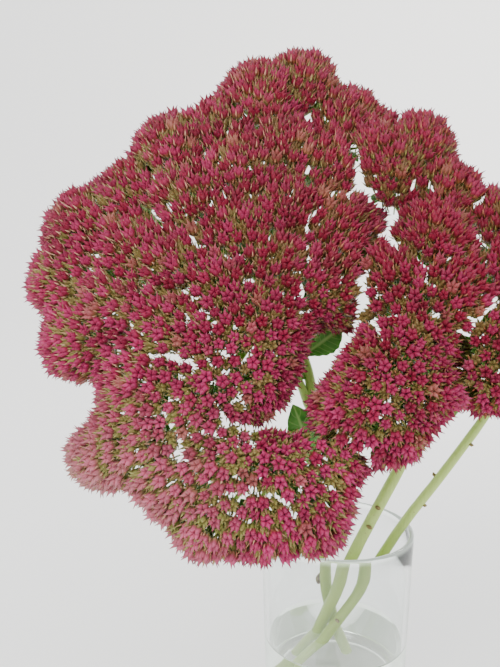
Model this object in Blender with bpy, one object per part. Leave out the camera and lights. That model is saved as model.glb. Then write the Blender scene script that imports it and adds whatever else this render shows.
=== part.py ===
"""Three cut stems of Autumn Joy sedum standing in a glass of water, at real size.

Metres, +Z up. The origin is the middle of the glass's underside, so the glass stands on
Z = 0, and -Y is the side that the flower heads lean towards. Lists of places are in
millimetres, and millimetres() turns them to metres.
"""

import math

import bmesh
import bpy
from mathutils import Vector
from mathutils.geometry import delaunay_2d_cdt

MM = 0.001
GAP = 0.3 * MM                 # between pieces that touch

# The glass: a plain tumbler with a thick floor, turned in one piece.
GLASS_HEIGHT = 110 * MM
GLASS_RIM_RADIUS = 39 * MM
GLASS_BASE_RADIUS = 35.7 * MM
GLASS_WALL = 2.5 * MM
GLASS_FLOOR = 9 * MM
GLASS_CHAMFER = 1.5 * MM
RIM_FLAT = 0.3                 # share of the wall that rounds over on each side of the rim
GLASS_SIDES = 36
WATER_LEVEL = 52 * MM

# The stems: the path of each in millimetres, from its cut foot to where the head forks.
# Each foot is then lowered until it stands on the floor of the glass.
STEM_SIDES = 8
PATH_STEPS = 2                 # straight pieces between two places of a path
FOOT_SWELL = 1.04              # the cut end is a little thicker than the top
TOP_TAPER = 0.72
TAPER_POWER = 1.5              # most of the taper is near the top
LEFT_STEM = ((9, 17, 11), (2, 11, 45), (-5, 4, 76), (-11, -3, 110), (-13, -5, 150),
             (-15, -4, 187), (-25, 2, 214), (-38, 10, 238))
MIDDLE_STEM = ((-21, 15, 11), (-10, 6, 46), (0, -7, 80), (9, -18, 110), (29, -15, 149),
               (47, -11, 187), (54, -4, 215), (50, 4, 240))
RIGHT_STEM = ((-28, -7, 11), (-12, -6, 43), (11, -4, 76), (33, 0, 110), (54, -3, 142),
              (75, -5, 176), (86, -3, 205))
LEFT_RADIUS = 3.1 * MM
MIDDLE_RADIUS = 3.1 * MM
RIGHT_RADIUS = 2.75 * MM
HOLE_START = 6 * MM            # a stem's hole in the water is cut from this far below it

# Old leaf scars and buds on the stems: height up the stem, side (degrees round from +X,
# anticlockwise seen from above) and how far the bud stands out, all in millimetres.
LEFT_BUDS = ((78, 180, 2.6), (150, 20, 1.0), (132, 250, 1.0))
MIDDLE_BUDS = ((128, 250, 1.0), (119, 265, 1.0), (97, 280, 1.0), (152, 330, 1.4))
RIGHT_BUDS = ((137, 150, 1.8), (124, 340, 1.2), (157, 330, 1.2), (62, 240, 1.0))
BUD_SIDES = 6
BUD_WIDTH = 0.6                # of the stem's radius
BUD_ROOT = 0.5                 # of the stem's radius, so that the bud is sunk well in
BUD_RISE = 0.4                 # how far its point turns up, as a share of its length

# The face of the flower mass: it leans back as it goes up and curves away at its sides.
# A lobe's middle lies at FACE_Y at the height FACE_Z, over the middle of its own head.
FACE_Y = -31 * MM
FACE_Z = 222 * MM
FACE_LEAN = 0.53
FACE_CURVE = 1.1               # per metre, up and down
SIDE_CURVE = 2.2               # per metre, to the sides
FACE_OUT = Vector((0, -0.88, 0.47))  # square to the face, outwards
FACE_TURN = 0.9                # how far the lobes turn from their forks to that
LEFT_HEAD_X = -55 * MM
MIDDLE_HEAD_X = 25 * MM
RIGHT_HEAD_X = 85 * MM
RIGHT_HEAD_BACK = 8 * MM       # the right head stands a little behind the others

# Each spray leaves its stem at a height, runs to its fork, and carries lobes from there:
# name, height on the stem, fork (x, y, z), lobes (x, z, radius), all in millimetres.
LEFT_SPRAYS = (
    ("top", 236, (-22, 40, 291), ((-42, 329, 22), (-17, 339, 21), (9, 318, 23))),
    ("crest", 236, (-72, 22, 262), ((-62, 313, 21), (-85, 302, 22), (-107, 282, 22))),
    ("left", 232, (-98, 9, 238), ((-127, 264, 22), (-136, 238, 21), (-127, 210, 22),
                                  (-104, 252, 19), (-108, 226, 20))),
    ("upper", 237, (-40, 16, 262), ((-78, 276, 21), (-53, 288, 21), (-28, 300, 21),
                                    (-2, 288, 20), (-53, 262, 19), (-27, 272, 19),
                                    (-1, 262, 20))),
    ("middle", 226, (-52, 2, 226), ((-82, 246, 19), (-84, 218, 20), (-58, 236, 19),
                                    (-33, 245, 19), (-60, 211, 19), (-37, 218, 19),
                                    (-7, 238, 20))),
    ("inner", 205, (-52, -8, 200), ((-90, 192, 19), (-66, 188, 19), (-40, 197, 17))),
    ("side", 172, (-78, -22, 178), ((-112, 164, 21), (-90, 170, 18))),
    ("lower", 150, (-38, -30, 158), ((-81, 150, 20), (-64, 137, 19), (-41, 135, 20),
                                     (-16, 138, 20), (-7, 155, 17), (-57, 161, 20),
                                     (-33, 158, 19))),
)
MIDDLE_SPRAYS = (
    ("shoulder", 238, (42, 12, 268), ((20, 294, 21), (42, 306, 21), (54, 282, 20),
                                      (41, 258, 20))),
    ("heart", 218, (42, -2, 230), ((19, 236, 19), (46, 233, 20), (27, 214, 18))),
    ("skirt", 192, (26, -18, 196), ((0, 181, 18), (12, 197, 18), (33, 190, 19),
                                    (20, 172, 18))),
)
RIGHT_SPRAYS = (
    ("far_top", 204, (84, 4, 236), ((76, 268, 22), (102, 262, 22), (72, 241, 19))),
    ("far_side", 200, (84, -6, 214), ((66, 213, 20), (94, 226, 21), (62, 190, 18),
                                      (88, 198, 20))),
)

# A branch and the lobes it carries.
BRANCH_RADIUS = 1.9 * MM
BRANCH_SIDES = 5
BRANCH_CLIMB = 0.35            # share of the way that a branch first follows its stem
BRANCH_TURN = 0.25             # share of the way that it has then gone to its fork
FIRST_TWIG = 0.4               # share of the branch that is bare before its twigs
TWIG_RADIUS = 1.2 * MM
TWIG_SIDES = 3
TWIG_BEND = 0.4                # share of its length that a twig runs along the lobe's axis
BOSS_BEHIND = 0.85             # lobe radii from the lobe's middle back to its boss
BOSS_RADIUS = 1.8 * MM
BOSS_SIDES = 6
LOBE_MARGIN = 0.4 * MM         # each lobe keeps this far back from its neighbours' share
SHORTEST_REACH = 1.5 * MM      # from a lobe's boss to its surface

# The flowers in seed: a crown of five pointed pods, drawn larger than life.
CROWN_POINTS = 5
CROWN_SPACING = 15.4 * MM
CROWN_REACH = 80               # degrees from the lobe's axis to the outermost crowns
CROWN_HEIGHT = 6.5 * MM
NOTCH_DROP = 2.6 * MM
TIP_SHARE = 0.47               # tip radius, as a share of the distance to the next crown
NOTCH_SHARE = 0.45             # notch radius, as a share of the tip radius
WIDEST_SHARE = 1.25            # the distance that counts is never more, in crown spacings
CELL_SHARE = 0.86              # a tip goes this far towards its crown's outline, at most
CROWN_TURN = 1.3               # radians that each crown is turned from the one before
CROWDING = 4 * MM              # how far a crown may be pressed in beside a neighbour
GUARDS = 12                    # empty places round a lobe that close its outermost crowns
GUARD_DISTANCE = 0.57          # radians from the outermost crown to those
GOLDEN_TURN = math.pi * (3 - math.sqrt(5))
HEXAGON = math.sqrt(3) / 2     # how much room a place takes where all lie evenly

# Leaves, in millimetres: the spray that each grows from (or None for the stem), how far
# along the branch or how high on the stem, its tip, its width and the way it faces.
LEFT_LEAVES = (
    (None, 143, (-24, -12, 178), 17, (0.2, -1, 0.2)),
    (None, 190, (-48, -12, 192), 14, (0, -1, 0.5)),
    (None, 200, (0, -4, 215), 15, (0.1, -1, 0.3)),
    ("side", 0.75, (-108, -22, 182), 11, (0, -0.6, 0.8)),
    ("middle", 0.7, (-70, 2, 250), 12, (0, -1, 0.4)),
    ("middle", 0.5, (-46, -14, 206), 11, (0, -1, 0.2)),
    ("left", 0.6, (-100, -6, 212), 11, (0, -1, 0.3)),
)
MIDDLE_LEAVES = (
    (None, 186, (20, -12, 214), 14, (0, -1, 0.3)),
    (None, 170, (58, -20, 186), 10, (0.3, -1, 0.2)),
    (None, 160, (6, -26, 168), 12, (0, -1, 0.1)),
    ("heart", 0.7, (14, 0, 246), 11, (0, -1, 0.3)),
)
RIGHT_LEAVES = (
    (None, 184, (56, -6, 212), 11, (0, -1, 0.3)),
    (None, 180, (106, 2, 192), 12, (0, -0.5, 0.9)),
)
LEAF_THICKNESS = 1.1 * MM
LEAF_EDGE = 0.7 * MM
LEAF_STATIONS = 6              # one tooth or notch at each
LEAF_TOOTH = 0.07              # how far the teeth stand out, as a share of the half width
LEAF_FOOT = 1.8 * MM           # half width where it grows from the stem
LEAF_TIP = 0.6 * MM            # half width at the tip
LEAF_WIDEST = 1.35             # above 1, the leaf is widest past its middle
LEAF_FULLNESS = 0.8            # below 1, its sides are fuller than a sine wave
LEAF_ARCH = 0.08               # of the length
LEAF_FOLD = 0.22               # how far its sides turn up, as a share of the half width


def millimetres(point):
    return Vector(point) * MM


def material(name, colour, roughness, alpha=1.0):
    made = bpy.data.materials.new(name)
    made.use_nodes = True
    shader = made.node_tree.nodes["Principled BSDF"]
    shader.inputs["Base Color"].default_value = (*colour, 1)
    shader.inputs["Roughness"].default_value = roughness
    shader.inputs["Metallic"].default_value = 0
    shader.inputs["Alpha"].default_value = alpha
    made.diffuse_color = (*colour, alpha)
    return made


def make_object(name, bm, finish, smooth_angle=None):
    """Turns a bmesh into a named object of the scene, in its own material."""
    bmesh.ops.recalc_face_normals(bm, faces=bm.faces)
    mesh = bpy.data.meshes.new(name)
    bm.to_mesh(mesh)
    bm.free()
    mesh.materials.append(finish)
    if smooth_angle is not None:
        mesh.shade_smooth()
        mesh.set_sharp_from_angle(angle=math.radians(smooth_angle))
    made = bpy.data.objects.new(name, mesh)
    bpy.context.scene.collection.objects.link(made)
    return made


def boolean(target, operation, *others):
    """Applies one Boolean with every other object, and removes them."""
    tools = bpy.data.collections.new("tools")
    for other in others:
        tools.objects.link(other)
    cut = target.modifiers.new("boolean", "BOOLEAN")
    cut.operation = operation
    cut.operand_type = "COLLECTION"
    cut.collection = tools
    cut.solver = "EXACT"
    evaluated = target.evaluated_get(bpy.context.evaluated_depsgraph_get())
    result = bpy.data.meshes.new_from_object(evaluated)
    target.modifiers.clear()
    target.data = result
    for other in others:
        bpy.data.objects.remove(other)
    bpy.data.collections.remove(tools)


def around(count, turn=0.0):
    """Evenly spaced angles of one full turn."""
    return [turn + 2 * math.pi * k / count for k in range(count)]


def pairs(items):
    """Each item of a closed ring with the next one."""
    return zip(items, items[1:] + items[:1])


def ring(bm, centre, across, along, radius, sides):
    """A ring of vertices in the plane of two unit vectors."""
    return [bm.verts.new(centre + radius * (math.cos(a) * across + math.sin(a) * along))
            for a in around(sides)]


def bridge(bm, lower, upper):
    for (a, b), (c, d) in zip(pairs(lower), pairs(upper)):
        bm.faces.new((a, b, d, c))


def lathe(bm, profile, sides):
    """Turns a profile of (radius, height) round Z and closes it with flat ends."""
    across, along = Vector((1, 0, 0)), Vector((0, 1, 0))
    rings = [ring(bm, Vector((0, 0, height)), across, along, radius, sides)
             for radius, height in profile]
    for lower, upper in zip(rings, rings[1:]):
        bridge(bm, lower, upper)
    bm.faces.new(rings[0])
    bm.faces.new(rings[-1])


def add_tube(bm, path, radii, sides):
    """A closed tube along a path, turned as little as possible from ring to ring."""
    heading = (path[1] - path[0]).normalized()
    across = heading.orthogonal().normalized()
    rings = []
    for k, (centre, radius) in enumerate(zip(path, radii)):
        before, after = path[max(k - 1, 0)], path[min(k + 1, len(path) - 1)]
        turned = (after - before).normalized()
        across = heading.rotation_difference(turned) @ across
        across = (across - across.project(turned)).normalized()
        heading = turned
        rings.append(ring(bm, centre, across, heading.cross(across), radius, sides))
    for lower, upper in zip(rings, rings[1:]):
        bridge(bm, lower, upper)
    bm.faces.new(rings[0])
    bm.faces.new(rings[-1])


def smooth_path(points, steps):
    """Points along a Catmull-Rom curve through hand-placed points."""
    ends = [2 * points[0] - points[1]] + points + [2 * points[-1] - points[-2]]
    path = []
    for before, start, end, after in zip(ends, ends[1:], ends[2:], ends[3:]):
        for k in range(steps):
            t = k / steps
            path.append(0.5 * (2 * start + (end - before) * t
                               + (2 * before - 5 * start + 4 * end - after) * t * t
                               + (3 * start - before - 3 * end + after) * t ** 3))
    path.append(points[-1].copy())
    return path


def height_on(path, height):
    """The point where a rising path reaches a height, and the path's heading there."""
    for low, high in zip(path, path[1:]):
        if low.z <= height <= high.z:
            share = (height - low.z) / (high.z - low.z)
            return low.lerp(high, share), (high - low).normalized()
    return path[-1].copy(), (path[-1] - path[-2]).normalized()


def along_path(path, share):
    """The point at a share of a path's length."""
    lengths = [(after - before).length for before, after in zip(path, path[1:])]
    left = share * sum(lengths)
    for before, after, length in zip(path, path[1:], lengths):
        if left <= length:
            return before.lerp(after, left / length)
        left -= length
    return path[-1].copy()


def glass_radius(height):
    """The outer radius of the glass, which tapers down to its base."""
    return GLASS_BASE_RADIUS + (GLASS_RIM_RADIUS - GLASS_BASE_RADIUS) * height / GLASS_HEIGHT


def make_glass():
    rim_start = GLASS_HEIGHT - GLASS_WALL / 2
    floor_corner = GLASS_FLOOR + GLASS_CHAMFER
    profile = (
        (GLASS_BASE_RADIUS - GLASS_CHAMFER, 0),
        (GLASS_BASE_RADIUS, GLASS_CHAMFER),
        (glass_radius(rim_start), rim_start),
        (GLASS_RIM_RADIUS - RIM_FLAT * GLASS_WALL, GLASS_HEIGHT),
        (GLASS_RIM_RADIUS - (1 - RIM_FLAT) * GLASS_WALL, GLASS_HEIGHT),
        (glass_radius(rim_start) - GLASS_WALL, rim_start),
        (glass_radius(floor_corner) - GLASS_WALL, floor_corner),
        (glass_radius(GLASS_FLOOR) - GLASS_WALL - GLASS_CHAMFER, GLASS_FLOOR),
    )
    bm = bmesh.new()
    lathe(bm, profile, GLASS_SIDES)
    finish = material("clear_glass", (0.86, 0.90, 0.89), 0.03, alpha=0.3)
    make_object("vase", bm, finish, smooth_angle=30)


class Plant:
    """One cut stem: where it runs, what stands on it, and the lobes of its flower head."""

    def __init__(self, name, places, radius, buds, sprays, leaves, head_x, head_back=0.0):
        self.name = name
        self.radius = radius
        self.buds = buds
        self.sprays = sprays
        self.leaves = leaves
        points = [millimetres(place) for place in places]
        heading = (points[1] - points[0]).normalized()
        edge_below = radius * FOOT_SWELL * math.sqrt(1 - heading.z ** 2)
        points[0].z = GLASS_FLOOR + GAP + edge_below
        self.path = smooth_path(points, PATH_STEPS)
        self.lobes = [Lobe(f"corymb_{spray}_{number}", x * MM, z * MM, radius * MM,
                           millimetres(fork), head_x, head_back)
                      for spray, _, fork, lobes in sprays
                      for number, (x, z, radius) in enumerate(lobes, start=1)]

    def carried_by(self, spray):
        return [lobe for lobe in self.lobes if lobe.name.startswith(f"corymb_{spray}_")]


class Lobe:
    """One domed cluster of crowns: its middle, its radius, and the branch behind it."""

    def __init__(self, name, x, z, radius, fork, head_x, head_back):
        rise = z - FACE_Z
        y = (FACE_Y + head_back + FACE_LEAN * rise + FACE_CURVE * rise ** 2
             + SIDE_CURVE * (x - head_x) ** 2)
        self.name = name
        self.radius = radius
        self.middle = Vector((x, y, z))
        outward = (self.middle - fork).normalized()
        self.axis = (outward + FACE_TURN * FACE_OUT).normalized()
        self.boss = self.middle - self.axis * BOSS_BEHIND * radius

    def power(self, point):
        """Less than nothing inside the lobe's sphere. Neighbours meet where it is equal."""
        return (point - self.middle).length_squared - self.radius ** 2

    def reach(self, direction, lobes):
        """How far the lobe goes from its boss in a direction, within its own share."""
        back = self.boss - self.middle
        along = back.dot(direction)
        limit = -along + math.sqrt(along ** 2 - back.length_squared + self.radius ** 2)
        for other in lobes:
            apart = other.middle - self.middle
            closing = apart.dot(direction)
            if closing > 0:
                room = (other.power(self.boss) - self.power(self.boss)) / 2
                share = (room - LOBE_MARGIN * apart.length) / closing
                limit = min(limit, max(share, SHORTEST_REACH))
        return limit


class Chart:
    """A flat map of directions round a lobe's axis, so that crowns are laid out in 2-D."""

    def __init__(self, axis):
        self.frame = axis.to_track_quat("Z", "Y").to_matrix()

    def flat(self, direction):
        local = self.frame.transposed() @ direction
        angle = math.acos(max(-1, min(1, local.z)))
        return Vector((local.x, local.y)).normalized() * angle

    def direction(self, place):
        side = place.normalized() * math.sin(place.length)
        return self.frame @ Vector((side.x, side.y, math.cos(place.length)))


def crown_places(lobe, lobes, frame):
    """Directions from the boss to the crowns, spread in a golden spiral over the dome."""
    cap = 1 - math.cos(math.radians(CROWN_REACH))
    room = HEXAGON * CROWN_SPACING ** 2
    count = round(2 * math.pi * lobe.radius ** 2 * cap / room)
    places = []
    for k in range(count):
        height = 1 - cap * (k + 0.5) / count
        flat = math.sqrt(1 - height ** 2)
        spin = k * GOLDEN_TURN
        outward = frame @ Vector((flat * math.cos(spin), flat * math.sin(spin), height))
        away = lobe.middle + outward * lobe.radius - lobe.boss
        if lobe.reach(away.normalized(), lobes) > away.length - CROWDING:
            places.append(away.normalized())
    return places


def crown_cells(seeds):
    """The valleys between the crowns, and the valleys round each crown in order.

    A ring of guards outside the crowns closes the cells of the outermost ones.
    """
    furthest = max(seed.length for seed in seeds) + GUARD_DISTANCE
    guards = [furthest * Vector((math.cos(a), math.sin(a))) for a in around(GUARDS)]
    points = seeds + guards
    _, _, triangles, origins, _, _ = delaunay_2d_cdt(points, [], [], 0, 1e-9)
    valleys = []
    cells = [[] for _ in seeds]
    for triangle in triangles:
        corners = [origins[k][0] for k in triangle]
        crowns = [k for k in corners if k < len(seeds)]
        if crowns:
            for k in crowns:
                cells[k].append(len(valleys))
            valleys.append(sum((points[k] for k in corners), Vector((0, 0))) / 3)
    for seed, cell in zip(seeds, cells):
        cell.sort(key=lambda k: math.atan2(valleys[k].y - seed.y, valleys[k].x - seed.x))
    return valleys, cells


def room_towards(centre, towards, cell):
    """How far a ray from a cell's centre goes before it meets the cell's outline."""
    nearest = math.inf
    for a, b in pairs(cell):
        edge = b - a
        across = towards.cross(edge)
        if abs(across) < 1e-12:
            continue
        distance = (a - centre).cross(edge) / across
        share = (a - centre).cross(towards) / across
        if distance > 0 and -1e-6 <= share <= 1 + 1e-6:
            nearest = min(nearest, distance)
    return nearest


def crown_star(seed, cell, distance, turn):
    """The corners of one crown on the chart: its tips and its notches by turns."""
    corners = []
    for k, angle in enumerate(around(2 * CROWN_POINTS, turn)):
        towards = Vector((math.cos(angle), math.sin(angle)))
        size = distance * TIP_SHARE
        if k % 2:
            size *= NOTCH_SHARE
        corners.append(seed + towards * min(size, CELL_SHARE * room_towards(seed, towards, cell)))
    return corners


def make_lobe(lobe, lobes, finish):
    """One closed body: crowns raised on a dome, tapering behind to a flat boss."""
    others = [other for other in lobes if other is not lobe]
    chart = Chart(lobe.axis)
    seeds = [chart.flat(away) for away in crown_places(lobe, others, chart.frame)]
    points, cells = crown_cells(seeds)
    drops = [CROWN_HEIGHT] * len(points)
    widest = WIDEST_SHARE * CROWN_SPACING / (lobe.radius * (1 + BOSS_BEHIND))
    edges = set()
    for index, (seed, cell) in enumerate(zip(seeds, cells)):
        edges.update(tuple(sorted(pair)) for pair in pairs(cell))
        distances = [(seed - other).length for other in seeds if other is not seed]
        star = crown_star(seed, [points[k] for k in cell], min(distances + [widest]),
                          index * CROWN_TURN)
        corners = list(range(len(points), len(points) + len(star)))
        edges.update(pairs(corners))
        points += star
        drops += [0, NOTCH_DROP] * CROWN_POINTS

    flats, _, triangles, origins, _, _ = delaunay_2d_cdt(points, list(edges), [], 1, 1e-9)
    bm = bmesh.new()
    verts = []
    for place, origin in zip(flats, origins):
        direction = chart.direction(place)
        reach = max(lobe.reach(direction, others) - drops[origin[0]], SHORTEST_REACH)
        verts.append(bm.verts.new(lobe.boss + direction * reach))
    for triangle in triangles:
        bm.faces.new([verts[k] for k in triangle])

    rim = ordered_loop([edge for edge in bm.edges if edge.is_boundary])
    centre = lobe.boss - lobe.axis * GAP
    boss = ring(bm, centre, chart.frame.col[0], chart.frame.col[1], BOSS_RADIUS, BOSS_SIDES)
    stitch(bm, rim, boss, centre, chart.frame)
    bm.faces.new(boss)
    make_object(lobe.name, bm, finish)


def ordered_loop(edges):
    """The vertices of one closed loop of edges, in order."""
    loop = list(edges[0].verts)
    unused = set(edges[1:])
    while unused:
        step = next(edge for edge in unused if loop[-1] in edge.verts)
        unused.remove(step)
        loop.append(step.other_vert(loop[-1]))
    return loop[:-1]


def stitch(bm, outer, inner, centre, frame):
    """Joins two rings of unequal counts with triangles, by their angle round the axis."""

    def angle(vert):
        local = frame.transposed() @ (vert.co - centre)
        return math.atan2(local.y, local.x)

    def in_order(verts):
        if sum(turns([angle(vert) for vert in verts])) < 0:
            verts = verts[::-1]
        first = min(range(len(verts)), key=lambda k: angle(verts[k]) % (2 * math.pi))
        return verts[first:] + verts[:first]

    outer, inner = in_order(outer), in_order(inner)
    outer_angles = unrolled([angle(vert) for vert in outer])
    inner_angles = unrolled([angle(vert) for vert in inner])
    i = j = 0
    while i < len(outer) or j < len(inner):
        next_outer = outer_angles[i + 1] if i < len(outer) else math.inf
        next_inner = inner_angles[j + 1] if j < len(inner) else math.inf
        here, there = outer[i % len(outer)], inner[j % len(inner)]
        if next_outer <= next_inner:
            i += 1
            bm.faces.new((here, outer[i % len(outer)], there))
        else:
            j += 1
            bm.faces.new((here, inner[j % len(inner)], there))


def turns(angles):
    """The signed turn from each angle of a ring to the next, under half a turn each."""
    return [(after - before + math.pi) % (2 * math.pi) - math.pi
            for before, after in pairs(angles)]


def unrolled(angles):
    """Angles that only go on growing, with the first repeated a full turn later."""
    grown = [angles[0] % (2 * math.pi)]
    for turn in turns(angles):
        grown.append(grown[-1] + turn)
    return grown


def make_leaf(base, tip, width, facing, finish):
    """A fleshy spoon-shaped leaf, toothed at its sides, thickest along its middle."""
    along = (tip - base).normalized()
    length = (tip - base).length
    side = along.cross(facing).normalized()
    normal = side.cross(along).normalized()
    thick = normal * LEAF_THICKNESS / 2
    thin = normal * LEAF_EDGE / 2
    bm = bmesh.new()
    rows = []
    for k in range(LEAF_STATIONS + 1):
        t = k / LEAF_STATIONS
        blade = max(math.sin(math.pi * t ** LEAF_WIDEST), 0) ** LEAF_FULLNESS
        tooth = 1 - LEAF_TOOTH if k % 2 else 1 + LEAF_TOOTH
        half = max(width / 2 * blade * tooth, LEAF_FOOT + (LEAF_TIP - LEAF_FOOT) * t)
        middle = base.lerp(tip, t) + normal * math.sin(math.pi * t) * length * LEAF_ARCH
        right = middle + side * half + normal * half * LEAF_FOLD
        left = middle - side * half + normal * half * LEAF_FOLD
        corners = (right + thin, middle + thick, left + thin,
                   left - thin, middle - thick, right - thin)
        rows.append([bm.verts.new(corner) for corner in corners])
    for row, after in zip(rows, rows[1:]):
        for k, (near, far) in enumerate(((0, 1), (1, 2), (2, 3), (4, 3), (5, 4), (0, 5))):
            bm.faces.new((row[near], row[far], after[near]))
            bm.faces.new((row[far], after[far], after[near]))
    bm.faces.new(rows[0])
    bm.faces.new(rows[-1])
    return make_object("leaf", bm, finish)


def make_bud(stem_path, stem_radius, height, degrees, out, finish):
    """A small pointed bud or scar that stands out of the stem's side."""
    point, heading = height_on(stem_path, height)
    turn = math.radians(degrees)
    side = Vector((math.cos(turn), math.sin(turn), 0))
    side = (side - side.project(heading)).normalized()
    bm = bmesh.new()
    base = ring(bm, point + side * stem_radius * BUD_ROOT, heading, heading.cross(side),
                BUD_WIDTH * stem_radius, BUD_SIDES)
    tip = bm.verts.new(point + side * (stem_radius + out) + heading * out * BUD_RISE)
    for a, b in pairs(base):
        bm.faces.new((a, b, tip))
    bm.faces.new(base)
    return make_object("bud", bm, finish)


def branch_path(stem_path, height, fork):
    """From the stem's middle out to the fork: it leaves upwards and bends to the fork."""
    root, heading = height_on(stem_path, height)
    climb = heading * (fork - root).length * BRANCH_CLIMB
    bend = root + climb + (fork - root) * BRANCH_TURN
    return smooth_path([root, bend, fork], PATH_STEPS)


def twig_path(root, lobe):
    """From the branch to just behind the lobe's boss, arriving along the lobe's axis."""
    end = lobe.boss - lobe.axis * 2 * GAP
    bend = end - lobe.axis * (end - root).length * TWIG_BEND
    return [root, bend, end]


def make_rod(name, path, radii, sides, finish, smooth_angle=None):
    bm = bmesh.new()
    add_tube(bm, path, radii, sides)
    return make_object(name, bm, finish, smooth_angle)


def make_stem(plant, finish):
    """A stem with its branches, twigs, leaves and buds, fused into one leafy body."""
    last = len(plant.path) - 1
    radii = [plant.radius * (FOOT_SWELL + (TOP_TAPER - FOOT_SWELL) * (k / last) ** TAPER_POWER)
             for k in range(last + 1)]
    stem = make_rod(plant.name, plant.path, radii, STEM_SIDES, finish, smooth_angle=50)
    grown = []
    branches = {}
    for spray, height, fork, _ in plant.sprays:
        branch = branch_path(plant.path, height * MM, millimetres(fork))
        branches[spray] = branch
        grown.append(make_rod("branch", branch, [BRANCH_RADIUS] * len(branch), BRANCH_SIDES,
                              finish))
        lobes = sorted(plant.carried_by(spray), key=lambda lobe: (lobe.boss - branch[0]).length)
        for number, lobe in enumerate(lobes, start=1):
            share = FIRST_TWIG + (1 - FIRST_TWIG) * number / len(lobes)
            twig = twig_path(along_path(branch, share), lobe)
            grown.append(make_rod("twig", twig, [TWIG_RADIUS] * len(twig), TWIG_SIDES, finish))
    for spray, place, tip, width, facing in plant.leaves:
        if spray is None:
            base, _ = height_on(plant.path, place * MM)
        else:
            base = along_path(branches[spray], place)
        grown.append(make_leaf(base, millimetres(tip), width * MM, Vector(facing), finish))
    for height, degrees, out in plant.buds:
        grown.append(make_bud(plant.path, plant.radius, height * MM, degrees, out * MM, finish))
    boolean(stem, "UNION", *grown)


def make_water(plants):
    """The water fills the glass to its level, with a plain hole round each stem."""
    inset = GLASS_WALL + GAP
    bottom = GLASS_FLOOR + GAP
    corner = bottom + GLASS_CHAMFER
    profile = (
        (glass_radius(bottom) - inset - GLASS_CHAMFER, bottom),
        (glass_radius(corner) - inset, corner),
        (glass_radius(WATER_LEVEL) - inset, WATER_LEVEL),
    )
    bm = bmesh.new()
    lathe(bm, profile, GLASS_SIDES)
    finish = material("still_water", (0.80, 0.87, 0.86), 0.02, alpha=0.4)
    water = make_object("water", bm, finish)
    for plant in plants:
        foot, above = plant.path[:2]
        path = [foot + (foot - above).normalized() * HOLE_START] + plant.path[1:]
        radii = [plant.radius * FOOT_SWELL + GAP] * len(path)
        boolean(water, "DIFFERENCE", make_rod("stem_hole", path, radii, STEM_SIDES, finish))


def main():
    for old in list(bpy.data.objects):
        bpy.data.objects.remove(old)

    plants = (
        Plant("stem_left", LEFT_STEM, LEFT_RADIUS, LEFT_BUDS, LEFT_SPRAYS, LEFT_LEAVES,
              LEFT_HEAD_X),
        Plant("stem_middle", MIDDLE_STEM, MIDDLE_RADIUS, MIDDLE_BUDS, MIDDLE_SPRAYS,
              MIDDLE_LEAVES, MIDDLE_HEAD_X),
        Plant("stem_right", RIGHT_STEM, RIGHT_RADIUS, RIGHT_BUDS, RIGHT_SPRAYS,
              RIGHT_LEAVES, RIGHT_HEAD_X, RIGHT_HEAD_BACK),
    )
    make_glass()
    make_water(plants)
    stem_green = material("sedum_stem", (0.42, 0.50, 0.20), 0.5)
    for plant in plants:
        make_stem(plant, stem_green)
    pink = material("sedum_corymb", (0.30, 0.05, 0.10), 0.6)
    lobes = [lobe for plant in plants for lobe in plant.lobes]
    for lobe in lobes:
        make_lobe(lobe, lobes, pink)


main()
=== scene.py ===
"""Three cut stems of Autumn Joy sedum in seed, standing in a glass tumbler of water.

Metres, +Z up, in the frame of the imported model: the origin is the middle of the glass's
underside, and the flower heads lean towards -Y. Places are written in millimetres.
"""

import math
import random

import bmesh
import bpy
import numpy as np
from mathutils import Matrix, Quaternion, Vector


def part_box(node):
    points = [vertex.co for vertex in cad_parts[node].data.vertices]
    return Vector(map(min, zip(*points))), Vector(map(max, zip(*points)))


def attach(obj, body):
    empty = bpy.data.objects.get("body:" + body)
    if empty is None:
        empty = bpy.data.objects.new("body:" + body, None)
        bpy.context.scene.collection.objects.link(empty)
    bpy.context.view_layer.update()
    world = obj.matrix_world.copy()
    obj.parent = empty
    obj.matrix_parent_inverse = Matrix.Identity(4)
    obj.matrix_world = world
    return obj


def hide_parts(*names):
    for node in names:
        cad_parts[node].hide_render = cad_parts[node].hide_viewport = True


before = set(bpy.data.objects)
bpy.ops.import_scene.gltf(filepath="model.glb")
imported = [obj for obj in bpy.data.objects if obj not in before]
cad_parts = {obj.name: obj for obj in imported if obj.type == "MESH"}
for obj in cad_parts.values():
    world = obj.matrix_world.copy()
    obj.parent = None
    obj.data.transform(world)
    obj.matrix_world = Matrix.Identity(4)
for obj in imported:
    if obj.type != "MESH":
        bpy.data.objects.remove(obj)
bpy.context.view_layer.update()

# The camera is held close, a little above the rim of the glass, and looks down at it by
# nine degrees. The glass stands below the middle of the picture and its foot is cut off.
MM = 0.001
CAMERA_PLACE = (-44.9, -367.0, 269.3)
CAMERA_TILT = 81  # degrees up from looking straight down
CAMERA_LENS = 40.5


def add_object(name, data):
    """A new object of the scene, at the origin."""
    made = bpy.data.objects.new(name, data)
    bpy.context.scene.collection.objects.link(made)
    return made


camera = add_object("camera", bpy.data.cameras.new("camera"))
camera.location = Vector(CAMERA_PLACE) * MM
camera.rotation_euler = (math.radians(CAMERA_TILT), 0, 0)
camera.data.lens = CAMERA_LENS
bpy.context.scene.camera = camera

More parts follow.
